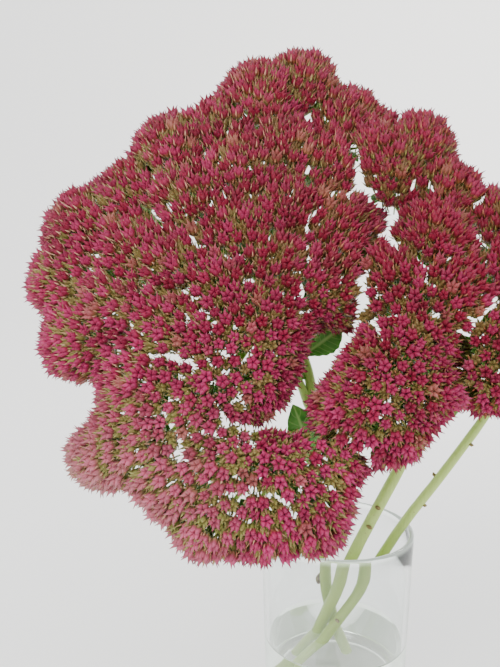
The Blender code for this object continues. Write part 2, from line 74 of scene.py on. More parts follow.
# The tumbler is one piece of clear soda-lime glass, pressed and fire-polished: a thick
# floor, a wall that widens a little upwards, and a rim melted round. It only stands.
RIM_RADIUS = 39 * MM
BASE_RADIUS = 35.7 * MM
GLASS_WALL = 2.5 * MM
GLASS_FLOOR = 9 * MM
RIM_ROUNDING = GLASS_WALL / 2
BASE_ROUNDING = 1.5 * MM
INNER_ROUNDING = 2 * BASE_ROUNDING
FLAT_MIDDLE = 0.2 * BASE_RADIUS
OUTER_RINGS = range(10, 108, 14)  # millimetres up, on the outside of the wall
INNER_RINGS = range(98, 14, -14)
ARC_STEPS = 6
GLASS_SIDES = 128
SHARP_ANGLE = 40  # degrees; a sharper edge isn't shaded smooth
glass_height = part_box("vase")[1].z


def linear(colour):
    """An sRGB hex colour as a linear colour with alpha, as Blender's sockets want it."""
    parts = [int(colour[k:k + 2], 16) / 255 for k in (1, 3, 5)]
    return [c / 12.92 if c <= 0.04045 else ((c + 0.055) / 1.055) ** 2.4 for c in parts] + [1]


def set_inputs(node, inputs):
    """Sets a node's inputs, by name or number.

    Each is a plain value, a hex colour, a socket to link, or a node whose first live output
    is linked. A Map Range takes its two old ends as 1 and 2 and its new ones as 3 and 4, and
    a Mix takes its share as 0 and its two colours as 6 and 7.
    """
    for key, value in inputs.items():
        if isinstance(value, bpy.types.Node):
            value = next(socket for socket in value.outputs if socket.enabled)
        if isinstance(value, bpy.types.NodeSocket):
            node.id_data.links.new(value, node.inputs[key])
        elif isinstance(value, str) and value.startswith("#"):
            node.inputs[key].default_value = linear(value)
        else:
            node.inputs[key].default_value = value


def add_node(tree, kind, inputs=None, stops=None, **settings):
    """Adds a node with its inputs and settings, and the stops of a ramp as place: colour."""
    made = tree.nodes.new(kind)
    for name, value in settings.items():
        setattr(made, name, value)
    set_inputs(made, inputs or {})
    for number, (place, colour) in enumerate((stops or {}).items()):
        held = made.color_ramp.elements
        stop = held[number] if number < 2 else held.new(place)
        stop.position = place
        stop.color = linear(colour)
    return made


def new_finish(name, constants):
    """A material with one Principled shader, whose own sockets hold the constants."""
    made = bpy.data.materials.new(name)
    made.use_nodes = True
    shader = made.node_tree.nodes["Principled BSDF"]
    set_inputs(shader, constants)
    return made, made.node_tree, shader


def arc(radius, height, size, start, end):
    """Points (radius, height) of an arc of a turned profile, between two angles."""
    angles = [math.radians(start + (end - start) * k / ARC_STEPS) for k in range(ARC_STEPS + 1)]
    return [(radius + size * math.cos(a), height + size * math.sin(a)) for a in angles]


def level_rings(profile, sides):
    """Level rings of corners round Z, one for each (radius, height) of a profile."""
    angles = [2 * math.pi * k / sides for k in range(sides)]
    return [[(radius * math.cos(a), radius * math.sin(a), height) for a in angles]
            for radius, height in profile]


def stack(bm, rings, tip=None):
    """A closed body over rings of corners, with a flat end or one that runs to a tip."""
    rows = [[bm.verts.new(corner) for corner in ring] for ring in rings]
    faces = [bm.faces.new(rows[0])]
    for lower, upper in zip(rows, rows[1:]):
        faces += [bm.faces.new((lower[k - 1], lower[k], upper[k], upper[k - 1]))
                  for k in range(len(lower))]
    last = rows[-1]
    if tip is None:
        faces.append(bm.faces.new(last))
    else:
        point = bm.verts.new(tip)
        faces += [bm.faces.new((last[k - 1], last[k], point)) for k in range(len(last))]
        rows.append([point])
    return rows, faces


def finished(name, bm):
    """Turns a bmesh into an object of the scene, smooth, with its faces outwards."""
    bmesh.ops.recalc_face_normals(bm, faces=bm.faces)
    mesh = bpy.data.meshes.new(name)
    bm.to_mesh(mesh)
    bm.free()
    mesh.shade_smooth()
    return add_object(name, mesh)


def turned(name, profile):
    """A closed solid of revolution round Z from points (radius, height), bottom first."""
    bm = bmesh.new()
    stack(bm, level_rings(profile, GLASS_SIDES))
    made = finished(name, bm)
    made.data.set_sharp_from_angle(angle=math.radians(SHARP_ANGLE))
    return made


def outer_radius(height):
    return BASE_RADIUS + (RIM_RADIUS - BASE_RADIUS) * height / glass_height


tumbler = turned("glass_tumbler", (
    [(FLAT_MIDDLE, 0)]
    + arc(BASE_RADIUS - BASE_ROUNDING, BASE_ROUNDING, BASE_ROUNDING, -90, 0)
    + [(outer_radius(z * MM), z * MM) for z in OUTER_RINGS]
    + arc(RIM_RADIUS - RIM_ROUNDING, glass_height - RIM_ROUNDING, RIM_ROUNDING, 0, 180)
    + [(outer_radius(z * MM) - GLASS_WALL, z * MM) for z in INNER_RINGS]
    + arc(outer_radius(GLASS_FLOOR) - GLASS_WALL - INNER_ROUNDING,
          GLASS_FLOOR + INNER_ROUNDING, INNER_ROUNDING, 0, -90)
    + [(FLAT_MIDDLE, GLASS_FLOOR)]))

# Soda-lime glass, fire-polished: clear and hard, with a cool tint where it is seen edge on
# and a faint unevenness from handling that softens its reflections here and there. A painted
# glow, emission that stands in for the light real glass gathers, is faint all over and
# strongest in the rim, and the glass throws almost no shadow.
SMUDGES_PER_METRE = 60
RIM_GLOW_HEIGHTS = (106.5 * MM, 109 * MM)
GLASS_SHADOW = 0.06  # the share of the light that the glass holds back
glass_finish, tree, shader = new_finish("fire_polished_soda_lime_glass", {
    "IOR": 1.5, "Transmission Weight": 1.0, "Specular IOR Level": 0.3,
    "Emission Color": "#E6F2E6"})
where = add_node(tree, "ShaderNodeTexCoord").outputs["Object"]
smudge = add_node(tree, "ShaderNodeTexNoise",
                  {"Vector": where, "Scale": SMUDGES_PER_METRE, "Detail": 3.0})
haze = add_node(tree, "ShaderNodeMapRange", {"Value": smudge, 1: 0.45, 2: 0.75, 4: 0.06})
grazing = add_node(tree, "ShaderNodeLayerWeight", {"Blend": 0.5}).outputs["Facing"]
edge = add_node(tree, "ShaderNodeMapRange", {"Value": grazing, 1: 0.72, 2: 0.98})
colour = "#FDFEFE"
for share, over in ((smudge, "#F7FBFA"), (edge, "#AEBFB4")):
    colour = add_node(tree, "ShaderNodeMix", {0: share, 6: colour, 7: over}, data_type="RGBA")
shadow_ray = add_node(tree, "ShaderNodeLightPath").outputs["Is Shadow Ray"]
seen = add_node(tree, "ShaderNodeMapRange", {"Value": shadow_ray, 3: 1.0, 4: GLASS_SHADOW})
above = add_node(tree, "ShaderNodeSeparateXYZ", {"Vector": where}).outputs["Z"]
# Painted glow: the glass's emission, faint all over, rises to its full strength in the rim.
glow = add_node(tree, "ShaderNodeMapRange",
                {"Value": above, 1: RIM_GLOW_HEIGHTS[0], 2: RIM_GLOW_HEIGHTS[1],
                 3: 0.012, 4: 0.5})
set_inputs(shader, {"Base Color": colour, "Roughness": haze, "Alpha": seen,
                    "Emission Strength": glow})
tumbler.data.materials.append(glass_finish)
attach(tumbler, "root")
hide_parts("vase")

# The water half fills the glass. It wets the wall and the stems, so its surface creeps up
# the glass in a small curve, and it closes round each stem with no gap.
WATER_OVERLAP = 0.1 * MM  # into the glass, so that no film of air shows between them
MENISCUS = 1.6 * MM
MENISCUS_STEPS = (0.0, 0.25, 0.5, 0.75, 1.0)
water_foot, water_level = (corner.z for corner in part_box("water"))


def wetted_radius(height):
    return outer_radius(height) - GLASS_WALL + WATER_OVERLAP


water = turned("water_in_glass", (
    [(FLAT_MIDDLE, water_foot - WATER_OVERLAP)]
    + arc(wetted_radius(water_foot) - INNER_ROUNDING, water_foot + INNER_ROUNDING,
          INNER_ROUNDING, -90, 0)
    + [(wetted_radius(0.5 * water_level), 0.5 * water_level)]
    + [(wetted_radius(water_level) - MENISCUS * t, water_level - MENISCUS * (1 - (1 - t) ** 2))
       for t in MENISCUS_STEPS]
    + [(FLAT_MIDDLE, water_level - MENISCUS)]))

# Still water a few days old: clear, with a trace of green from the stems. The faint light
# of its own stands for what a full glass gathers from all round, and its shadow is faint.
WATER_CLOUDS_PER_METRE = 18
WATER_SHADOW = 0.03
water_finish, tree, shader = new_finish("still_water", {
    "IOR": 1.333, "Transmission Weight": 1.0, "Roughness": 0.0,
    "Emission Color": "#E6F0E2", "Emission Strength": 0.17})
where = add_node(tree, "ShaderNodeTexCoord").outputs["Object"]
settling = add_node(tree, "ShaderNodeTexNoise",
                    {"Vector": where, "Scale": WATER_CLOUDS_PER_METRE, "Detail": 1.0})
colour = add_node(tree, "ShaderNodeMix", {0: settling, 6: "#FBFDF9", 7: "#F6FAF4"},
                  data_type="RGBA")
shadow_ray = add_node(tree, "ShaderNodeLightPath").outputs["Is Shadow Ray"]
seen = add_node(tree, "ShaderNodeMapRange", {"Value": shadow_ray, 3: 1.0, 4: WATER_SHADOW})
set_inputs(shader, {"Base Color": colour, "Alpha": seen})
water.data.materials.append(water_finish)
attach(water, "root")
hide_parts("water")

# The three stems are cut, fleshy and round, pale green, and forked near the top into
# branches and thin twigs. They stand on the floor of the glass and lean on its rim.
FOOT_SWELL = 1.04
TOP_TAPER = 0.72
TAPER_POWER = 1.5
STEM_STEPS = 10  # straight pieces between two places of a stem's path
BRANCH_STEPS = 5
BRANCH_RADIUS = 1.9 * MM
BRANCH_ENDS = (1.45, 1 / 3, 0.2)  # collar's thickness, its reach, loss at the far end
TWIG_RADIUS = 1.2 * MM
TWIG_ENDS = (1.4, 1 / 4, 0.15)
BRANCH_CLIMB = 0.35
BRANCH_TURN = 0.25
FIRST_TWIG = 0.4
TWIG_BEND = 0.4
BOSS_BEHIND = 0.85
BOSS_AREA = 1.5 * math.sqrt(3) * (1.8 * MM) ** 2
ROD_SETTINGS = {"Sides": 20, "Unevenness": 0.5 * MM, "Knot Spacing": 7 * MM}
PLANTS = {  # a spray is its height on the stem and the place of its fork
    "left": {
        "path": ((9, 17, 10.3), (2, 11, 45), (-5, 4, 76), (-11, -3, 110), (-13, -5, 150),
                 (-15, -4, 187), (-25, 2, 214), (-38, 10, 238)),
        "radius": 3.1,
        "rise": (-35, 10, 190),
        "sprays": {"top": (236, (-22, 40, 291)), "crest": (236, (-72, 22, 262)),
                   "left": (232, (-98, 9, 238)), "upper": (237, (-40, 16, 262)),
                   "middle": (226, (-52, 2, 226)), "inner": (205, (-52, -8, 200)),
                   "side": (172, (-78, -22, 178)), "lower": (150, (-38, -30, 158))},
    },
    "middle": {
        "path": ((-21, 15, 10.6), (-10, 6, 46), (0, -7, 80), (9, -18, 110), (29, -15, 149),
                 (47, -11, 187), (54, -4, 215), (50, 4, 240)),
        "radius": 3.1,
        "rise": (42, 5, 195),
        "sprays": {"shoulder": (238, (42, 12, 268)), "heart": (218, (42, -2, 230)),
                   "skirt": (192, (26, -18, 196))},
    },
    "right": {
        "path": ((-28, -7, 10.7), (-12, -6, 43), (11, -4, 76), (33, 0, 110), (54, -3, 142),
                 (75, -5, 176), (86, -3, 205)),
        "radius": 2.75,
        "rise": (85, 10, 185),
        "sprays": {"far_top": (204, (84, 4, 236)), "far_side": (200, (84, -6, 214))},
    },
}


def smooth_path(points, steps):
    """Points along a Catmull-Rom curve through given points."""
    ends = [2 * points[0] - points[1]] + points + [2 * points[-1] - points[-2]]
    path = []
    for before, start, end, after in zip(ends, ends[1:], ends[2:], ends[3:]):
        for k in range(steps):
            t = k / steps
            path.append(0.5 * (2 * start + (end - before) * t
                               + (2 * before - 5 * start + 4 * end - after) * t * t
                               + (3 * start - before - 3 * end + after) * t ** 3))
    path.append(points[-1].copy())
    return path


def height_on(path, height):
    """The point where a rising path reaches a height, and the path's heading there."""
    for low, high in zip(path, path[1:]):
        if low.z <= height <= high.z:
            share = (height - low.z) / (high.z - low.z)
            return low.lerp(high, share), (high - low).normalized()
    return path[-1].copy(), (path[-1] - path[-2]).normalized()


def along_path(path, share):
    """The point at a share of a path's length."""
    lengths = [(after - before).length for before, after in zip(path, path[1:])]
    left = share * sum(lengths)
    for before, after, length in zip(path, path[1:], lengths):
        if left <= length:
            return before.lerp(after, left / length)
        left -= length
    return path[-1].copy()


class Lobe:
    """A domed cluster of seed heads, read back from its CAD node.

    A flat six-sided boss at the back shows where its twig comes in. The dome is the sphere
    that the outermost crowns of the node touch.
    """

    def __init__(self, name):
        bm = bmesh.new()
        bm.from_mesh(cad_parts[name].data)
        bmesh.ops.remove_doubles(bm, verts=bm.verts, dist=1e-6)
        corners = [vert.co.copy() for vert in bm.verts]
        bmesh.ops.dissolve_limit(bm, angle_limit=math.radians(0.5), verts=bm.verts,
                                 edges=bm.edges)
        flats = [face for face in bm.faces if len(face.verts) == 6]
        boss = min(flats, key=lambda face: abs(face.calc_area() - BOSS_AREA))
        self.name = name
        self.boss = boss.calc_center_median()
        self.axis = -boss.normal.normalized()
        bm.free()
        self.radius = max(self.sphere_through(corner - self.boss) for corner in corners)
        self.middle = self.boss + self.axis * BOSS_BEHIND * self.radius

    def sphere_through(self, corner):
        """The radius of the dome's sphere if a corner, seen from the boss, is on it."""
        a = 1 - BOSS_BEHIND ** 2
        b = BOSS_BEHIND * corner.dot(self.axis)
        return (math.sqrt(b * b + a * corner.length_squared) - b) / a

    def power(self, point):
        """Less than nothing inside the sphere. Neighbours meet where it is equal."""
        return (point - self.middle).length_squared - self.radius ** 2


def branch_path(stem_path, height, fork):
    """From the stem's middle out to the fork: it leaves upwards and bends to the fork."""
    root, heading = height_on(stem_path, height)
    climb = heading * (fork - root).length * BRANCH_CLIMB
    bend = root + climb + (fork - root) * BRANCH_TURN
    return smooth_path([root, bend, fork], BRANCH_STEPS)


def twig_path(root, lobe):
    """From the branch into the lobe's boss, arriving along the lobe's axis."""
    bend = lobe.boss - lobe.axis * (lobe.boss - root).length * TWIG_BEND
    return smooth_path([root, bend, lobe.boss + lobe.axis * TWIG_RADIUS], BRANCH_STEPS)


def rod(path, radius, ends):
    """A path with its radii: a collar at the root, then a slight taper."""
    collar, reach, loss = ends
    shares = [k / (len(path) - 1) for k in range(len(path))]
    return path, [radius * (1 + (collar - 1) * max(0, 1 - s / reach)) * (1 - loss * s)
                  for s in shares]


def rods_object(name, rods):
    """A curve object with one spline for each rod, given as its points and radii."""
    curve = bpy.data.curves.new(name, "CURVE")
    curve.dimensions = "3D"
    for path, radii in rods:
        spline = curve.splines.new("POLY")
        spline.points.add(len(path) - 1)
        for point, place, radius in zip(spline.points, path, radii):
            point.co = (*place, 1)
            point.radius = radius
    return add_object(name, curve)


def new_tree(name, settings):
    """A Geometry Nodes tree with an input for the geometry and one for each setting."""
    tree = bpy.data.node_groups.new(name, "GeometryNodeTree")
    for way in ("OUTPUT", "INPUT"):
        tree.interface.new_socket("Geometry", in_out=way, socket_type="NodeSocketGeometry")
    for label, value in settings.items():
        kind = "NodeSocketInt" if isinstance(value, int) else "NodeSocketFloat"
        tree.interface.new_socket(label, in_out="INPUT", socket_type=kind)
    return tree, add_node(tree, "NodeGroupInput").outputs


def grow(source, tree, name, settings):
    """Runs a tree on an object and returns the result as a new plain mesh object."""
    modifier = source.modifiers.new(tree.name, "NODES")
    modifier.node_group = tree
    for item in tree.interface.items_tree:
        if item.in_out == "INPUT" and item.name in settings:
            modifier[item.identifier] = settings[item.name]
    graph = bpy.context.evaluated_depsgraph_get()
    graph.update()
    mesh = bpy.data.meshes.new_from_object(source.evaluated_get(graph))
    source.modifiers.remove(modifier)
    return add_object(name, mesh)


# Living rind: smooth and waxy, pale yellow-green, with fine lengthwise streaks, a paler
# bloom in patches and small brown specks. Painted shade makes it deeper green high up among
# the branches, under the flower heads, and below the rim, behind the glass. The wax gives it
# a soft, broad highlight.
STREAK_WIDTH = 0.9 * MM  # about three to the stem's visible width
STREAK_SQUEEZE = 0.12
BLOOM_PATCHES_PER_METRE = 45
SPECK_SPACING = 3.2 * MM
rind_finish, tree, shader = new_finish("waxy_sedum_rind", {
    "Roughness": 0.42, "IOR": 1.45, "Specular IOR Level": 0.5, "Subsurface Weight": 0.12,
    "Subsurface Radius": (0.6, 0.9, 0.3), "Subsurface Scale": 0.002})
where = add_node(tree, "ShaderNodeTexCoord").outputs["Object"]
above = add_node(tree, "ShaderNodeSeparateXYZ", {"Vector": where}).outputs["Z"]
stretched = add_node(tree, "ShaderNodeMapping",
                     {"Vector": where, "Scale": (1.0, 1.0, STREAK_SQUEEZE)})
streaks = add_node(tree, "ShaderNodeTexNoise",
                   {"Vector": stretched, "Scale": 1 / STREAK_WIDTH, "Detail": 3.0,
                    "Roughness": 0.6})
bloom = add_node(tree, "ShaderNodeTexNoise",
                 {"Vector": where, "Scale": BLOOM_PATCHES_PER_METRE, "Detail": 2.0})
# Painted shade: deeper green from 170 mm up, under the flower heads, and below the rim.
painted_shade_under_heads = add_node(tree, "ShaderNodeMapRange", {"Value": above, 1: 0.17, 2: 0.23, 4: 0.8})
shaded = add_node(tree, "ShaderNodeMapRange", {"Value": above, 1: 0.112, 2: 0.098, 4: 0.6})
specks = add_node(tree, "ShaderNodeTexVoronoi", {"Vector": where, "Scale": 1 / SPECK_SPACING})
speck = add_node(tree, "ShaderNodeMapRange",
                 {"Value": specks, 1: 0.05, 2: 0.12, 3: 0.8, 4: 0.0})
colour = add_node(tree, "ShaderNodeValToRGB", {"Fac": streaks},
                  stops={0.3: "#869E3E", 0.7: "#ACC462"})
for share, over in ((bloom, "#B2C672"), (painted_shade_under_heads, "#5F7C2E"), (shaded, "#8AA62E"),
                    (speck, "#7C6A3A")):
    colour = add_node(tree, "ShaderNodeMix", {0: share, 6: colour, 7: over}, data_type="RGBA")
relief = add_node(tree, "ShaderNodeBump",
                  {"Height": streaks, "Strength": 0.35, "Distance": 0.15 * MM})
set_inputs(shader, {"Base Color": colour, "Normal": relief})

# Each rod of a stem is swept along its own curve and made slightly uneven.
tree, given = new_tree("sweep_rods", ROD_SETTINGS)
outline = add_node(tree, "GeometryNodeCurvePrimitiveCircle",
                   {"Resolution": given["Sides"], "Radius": 1.0})
thickness = add_node(tree, "GeometryNodeInputRadius")
swept = add_node(tree, "GeometryNodeCurveToMesh",
                 {"Curve": given["Geometry"], "Profile Curve": outline, "Scale": thickness,
                  "Fill Caps": True})
per_metre = add_node(tree, "ShaderNodeMath", {0: 1.0, 1: given["Knot Spacing"]},
                     operation="DIVIDE")
lumps = add_node(tree, "ShaderNodeTexNoise", {"Scale": per_metre, "Detail": 2.0})
centred = add_node(tree, "ShaderNodeMath", {0: lumps, 1: 0.5}, operation="SUBTRACT")
swelling = add_node(tree, "ShaderNodeMath", {0: centred, 1: given["Unevenness"]},
                    operation="MULTIPLY")
facing = add_node(tree, "GeometryNodeInputNormal")
push = add_node(tree, "ShaderNodeVectorMath", {0: facing, "Scale": swelling}, operation="SCALE")
uneven = add_node(tree, "GeometryNodeSetPosition", {"Geometry": swept, "Offset": push})
smooth = add_node(tree, "GeometryNodeSetShadeSmooth", {"Geometry": uneven})
coated = add_node(tree, "GeometryNodeSetMaterial", {"Geometry": smooth, "Material": rind_finish})
add_node(tree, "NodeGroupOutput", {"Geometry": coated})

lobes = {}
for side, plant in PLANTS.items():
    path = smooth_path([Vector(place) * MM for place in plant["path"]], STEM_STEPS)
    plant["smooth"] = path
    last = len(path) - 1
    rods = [(path, [plant["radius"] * MM
                    * (FOOT_SWELL + (TOP_TAPER - FOOT_SWELL) * (k / last) ** TAPER_POWER)
                    for k in range(last + 1)])]
    plant["branches"] = {}
    for spray, (start, fork) in plant["sprays"].items():
        branch = branch_path(path, start * MM, Vector(fork) * MM)
        plant["branches"][spray] = branch
        rods.append(rod(branch, BRANCH_RADIUS, BRANCH_ENDS))
        lobes[spray] = [Lobe(name) for name in sorted(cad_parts)
                        if name.startswith(f"corymb_{spray}_")]
        carried = sorted(lobes[spray], key=lambda lobe: (lobe.boss - branch[0]).length)
        for number, lobe in enumerate(carried, start=1):
            root = along_path(branch, FIRST_TWIG + (1 - FIRST_TWIG) * number / len(carried))
            rods.append(rod(twig_path(root, lobe), TWIG_RADIUS, TWIG_ENDS))
    source = rods_object("rods", rods)
    stem = grow(source, tree, f"{side}_stem_and_branches", ROD_SETTINGS)
    bpy.data.objects.remove(source)
    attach(stem, "root")
    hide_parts(f"stem_{side}")

# Where a leaf was pulled off, the stem keeps a crescent scar with a small bud over it.
# Both have grown from the stem, and have dried to a brown cork.
SCARS = {  # height on the stem, degrees round it, and size
    "left": ((78, 180, 2.6), (150, 20, 1.0), (132, 250, 1.0)),
    "middle": ((128, 250, 1.0), (119, 265, 1.0), (97, 280, 1.0), (152, 330, 1.4)),
    "right": ((137, 150, 1.8), (124, 340, 1.2), (157, 330, 1.2), (62, 240, 1.0)),
}
BUD_RINGS = ((0.6, 0.3, 0.0), (1.0, 0.3, 0.05), (1.08, 0.2, 0.2), (1.16, 0.06, 0.4))
BUD_WIDTH = 1.6  # times its height
BUD_SIDES = 10
CORK_GRAINS_PER_METRE = 900
cork_finish, tree, shader = new_finish("dry_cork_of_a_leaf_scar", {"Roughness": 0.8})
where = add_node(tree, "ShaderNodeTexCoord").outputs["Object"]
grain = add_node(tree, "ShaderNodeTexNoise",
                 {"Vector": where, "Scale": CORK_GRAINS_PER_METRE, "Detail": 3.0})
browns = add_node(tree, "ShaderNodeValToRGB", {"Fac": grain},
                  stops={0.35: "#5A4628", 0.65: "#8C7E48"})
relief = add_node(tree, "ShaderNodeBump",
                  {"Height": grain, "Strength": 0.6, "Distance": 0.2 * MM})
set_inputs(shader, {"Base Color": browns, "Normal": relief})

for side, scars in SCARS.items():
    bm = bmesh.new()
    plant = PLANTS[side]
    radius = plant["radius"] * MM
    for start, degrees, size in scars:
        point, heading = height_on(plant["smooth"], start * MM)
        turn = math.radians(degrees)
        outward = Vector((math.cos(turn), math.sin(turn), 0))
        outward = (outward - outward.project(heading)).normalized()
        across = heading.cross(outward) * BUD_WIDTH
        rings = []
        for reach, half, lift in BUD_RINGS:
            beyond = size * MM * (reach - BUD_RINGS[0][0])
            centre = point + outward * (reach * radius + beyond) + heading * size * MM * lift
            rings.append([centre + half * radius * (x * heading + y * across)
                          for x, y, _ in level_rings([(1, 0)], BUD_SIDES)[0]])
        stack(bm, rings)
    scar_piece = finished(f"{side}_leaf_scars_and_buds", bm)
    scar_piece.data.materials.append(cork_finish)
    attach(scar_piece, "root")

# The leaves left among the branches are thick, spoon-shaped and toothed, each grown from
# its stem or branch, with a sunk midrib. Two small ones sit under the dome of each lobe,
# where they close the gaps between its seed heads.
LEAVES = {  # spray or stem, start on it, place of the tip, width, facing
    "left": ((None, 143, (-24, -12, 178), 17, (0.2, -1, 0.2)),
             (None, 190, (-48, -12, 192), 14, (0, -1, 0.5)),
             (None, 200, (0, -4, 215), 15, (0.1, -1, 0.3)),
             ("side", 0.75, (-108, -22, 182), 11, (0, -0.6, 0.8)),
             ("middle", 0.7, (-70, 2, 250), 12, (0, -1, 0.4)),
             ("middle", 0.5, (-46, -14, 206), 11, (0, -1, 0.2)),
             ("left", 0.6, (-100, -6, 212), 11, (0, -1, 0.3))),
    "middle": ((None, 186, (20, -12, 214), 14, (0, -1, 0.3)),
               (None, 170, (58, -20, 186), 10, (0.3, -1, 0.2)),
               (None, 160, (6, -26, 168), 12, (0, -1, 0.1)),
               ("heart", 0.7, (14, 0, 246), 11, (0, -1, 0.3))),
    "right": ((None, 184, (56, -6, 212), 11, (0, -1, 0.3)),
              (None, 180, (106, 2, 192), 12, (0, -0.5, 0.9))),
}
DOME_LEAF_REACH = 0.72  # of the lobe's radius
DOME_LEAF_LIFT = 0.3
DOME_LEAF_WIDTH = 11 * MM
LEAF_TURN = 137.5  # degrees from one lobe's pair to the next
LEAF_TEETH = 7
LEAF_TOOTH_DEPTH = 0.09
LEAF_ARCH = 0.08  # of its length
LEAF_FOLD = 0.22
LEAF_THICKNESS = 1.1 * MM
RIB_DEPTH = 0.25 * MM
RIB_WIDTH = 0.16  # of half the blade
LEAF_STATIONS = 28
LEAF_ACROSS = (-1.0, -0.8, -0.5, -0.22, 0.0, 0.22, 0.5, 0.8, 1.0)


def add_leaf(bm, base, tip, width, facing):
    """A closed blade with rounded teeth, arched along its length and folded a little."""
    uv = bm.loops.layers.uv.verify()
    along = (tip - base).normalized()
    length = (tip - base).length
    side = along.cross(facing).normalized()
    normal = side.cross(along).normalized()
    stations = [k / LEAF_STATIONS for k in range(LEAF_STATIONS + 1)]
    rings = []
    for t in stations:
        blade = max(math.sin(math.pi * t ** 1.35), 0) ** 0.8
        tooth = 1 + LEAF_TOOTH_DEPTH * (abs((t * LEAF_TEETH * 2) % 2 - 1) - 0.5)
        half = max(width / 2 * blade * tooth, (1.8 - 1.5 * t) * MM)
        spine = base.lerp(tip, t) + normal * math.sin(math.pi * t) * length * LEAF_ARCH
        upper, lower = [], []
        for a in LEAF_ACROSS:
            thick = LEAF_THICKNESS * (0.5 - 0.32 * abs(a) ** 3)
            groove = RIB_DEPTH * math.exp(-(a / RIB_WIDTH) ** 2) * blade
            place = spine + side * a * half + normal * abs(a) ** 1.4 * half * LEAF_FOLD
            upper.append(place + normal * (thick - groove))
            lower.append(place - normal * (thick + 0.4 * groove))
        rings.append(upper + lower[::-1])
    rows, faces = stack(bm, rings)
    spots = {vert: (a, t) for row, t in zip(rows, stations)
             for vert, a in zip(row, LEAF_ACROSS + LEAF_ACROSS[::-1])}
    for face in faces:
        for loop in face.loops:
            loop[uv].uv = spots[loop.vert]


# Thick leaf skin with a grey-green bloom: matt, mottled, with a pale midrib and side veins
# that leave it on a slant.
VEIN_SLANT = -0.16
VEIN_TURNS = 56  # radians of the wave that draws the veins, per leaf length
MOTTLES_PER_METRE = 160
leaf_finish, tree, shader = new_finish("glaucous_sedum_leaf", {
    "Roughness": 0.5, "IOR": 1.45, "Subsurface Weight": 0.2,
    "Subsurface Radius": (0.4, 1.0, 0.25), "Subsurface Scale": 0.002})
where = add_node(tree, "ShaderNodeTexCoord").outputs
blade_place = add_node(tree, "ShaderNodeSeparateXYZ", {"Vector": where["UV"]}).outputs
off_rib = add_node(tree, "ShaderNodeMath", {0: blade_place["X"]}, operation="ABSOLUTE")
rib = add_node(tree, "ShaderNodeMapRange", {"Value": off_rib, 1: 0.04, 2: 0.16, 3: 0.7, 4: 0.0})
slant = add_node(tree, "ShaderNodeMath", {0: off_rib, 1: VEIN_SLANT, 2: blade_place["Y"]},
                 operation="MULTIPLY_ADD")
stripes = add_node(tree, "ShaderNodeMath", {0: slant, 1: VEIN_TURNS}, operation="MULTIPLY")
wave = add_node(tree, "ShaderNodeMath", {0: stripes}, operation="SINE")
veins = add_node(tree, "ShaderNodeMapRange", {"Value": wave, 1: 0.75, 2: 1.0, 4: 0.35})
pale = add_node(tree, "ShaderNodeMath", {0: rib, 1: veins}, operation="MAXIMUM")
mottle = add_node(tree, "ShaderNodeTexNoise",
                  {"Vector": where["Object"], "Scale": MOTTLES_PER_METRE, "Detail": 4.0})
greens = add_node(tree, "ShaderNodeValToRGB", {"Fac": mottle},
                  stops={0.3: "#34761F", 0.75: "#68A040"})
veined = add_node(tree, "ShaderNodeMix", {0: pale, 6: greens, 7: "#A3BF73"}, data_type="RGBA")
relief = add_node(tree, "ShaderNodeBump",
                  {"Height": pale, "Strength": 0.5, "Distance": 0.2 * MM}, invert=True)
set_inputs(shader, {"Base Color": veined, "Normal": relief})

for side, leaves in LEAVES.items():
    bm = bmesh.new()
    plant = PLANTS[side]
    for spray, start, tip, width, facing in leaves:
        if spray is None:
            base, _ = height_on(plant["smooth"], start * MM)
        else:
            base = along_path(plant["branches"][spray], start)
        add_leaf(bm, base, Vector(tip) * MM, width * MM, Vector(facing))
    for number, lobe in enumerate(lobe for spray in plant["sprays"] for lobe in lobes[spray]):
        for half_turn in (0, 180):
            turn = math.radians(LEAF_TURN * number + half_turn)
            way = Quaternion(lobe.axis, turn) @ lobe.axis.orthogonal().normalized()
            tip = lobe.boss + lobe.radius * (way * DOME_LEAF_REACH + lobe.axis * DOME_LEAF_LIFT)
            add_leaf(bm, lobe.boss - lobe.axis * 2 * MM, tip, DOME_LEAF_WIDTH, lobe.axis)
    leaf_piece = finished(f"{side}_leaves", bm)
    leaf_piece.data.materials.append(leaf_finish)
    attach(leaf_piece, "root")

# A flower head is a broad dome of smaller domes. Each seed head on it is five plump pods with
# beaks that turn out, over dry petals and a green calyx, on a short stalk. The stalks meet in
# branchlets. Smaller, greener heads that came late stay lower and fill the gaps.
PODS, PETALS, STALKS = range(3)  # the tissues of a seed head
POD_RINGS = (  # place along the pod, distance out and half width in mm
    (0.0, 0.65, 0.75), (0.3, 1.5, 1.35), (0.6, 1.4, 1.25), (0.79, 1.75, 0.48))
POD_TURN = 0.12  # radians, and the share of the length, that a pod is off by
POD_UNEVENNESS = 0.08
BEAK_REACH = 2.9  # millimetres from the middle
PETAL_RISE = (3.8, 6.4)
PETAL_REACH = (3.0, 4.2)
CALYX_PROFILE = ((0.32, -8.0), (0.36, -1.2), (1.15, 0.5))
BRANCHLET_RADII = (0.7 * MM, 0.5 * MM)
HEAD_SIZES = (0.95, 1.2)
LATE_HEAD_SIZES = (1.0, 1.25)
POD_LENGTH = 7.0 * MM
HEAD_SETTINGS = {
    "Spray": 0,
    "Spacing": 5.2 * MM,
    "Pod Length": POD_LENGTH,
    "Late Spacing": 4.3 * MM,
    "Late Depth": 3.0 * MM,
    "Depth Spread": 2.0 * MM,  # some heads sit this much deeper than others
    "Branchlet Spacing": 7.5 * MM,
    "Stalk Length": 8.0 * MM,
    "Turn To Rise": 1.5,  # how strongly the heads of a stem all turn up from its fork
    "Scatter": 0.45,  # how far each turns its own way
    "Seed": 5,
}
MOST_PER_SQUARE_METRE = 200000.0
DOME_REACH = 104  # degrees from the lobe's axis to the edge of its dome
DOME_DETAIL = 4
DOME_ROUNDS = 6  # of fitting the dome to its neighbours
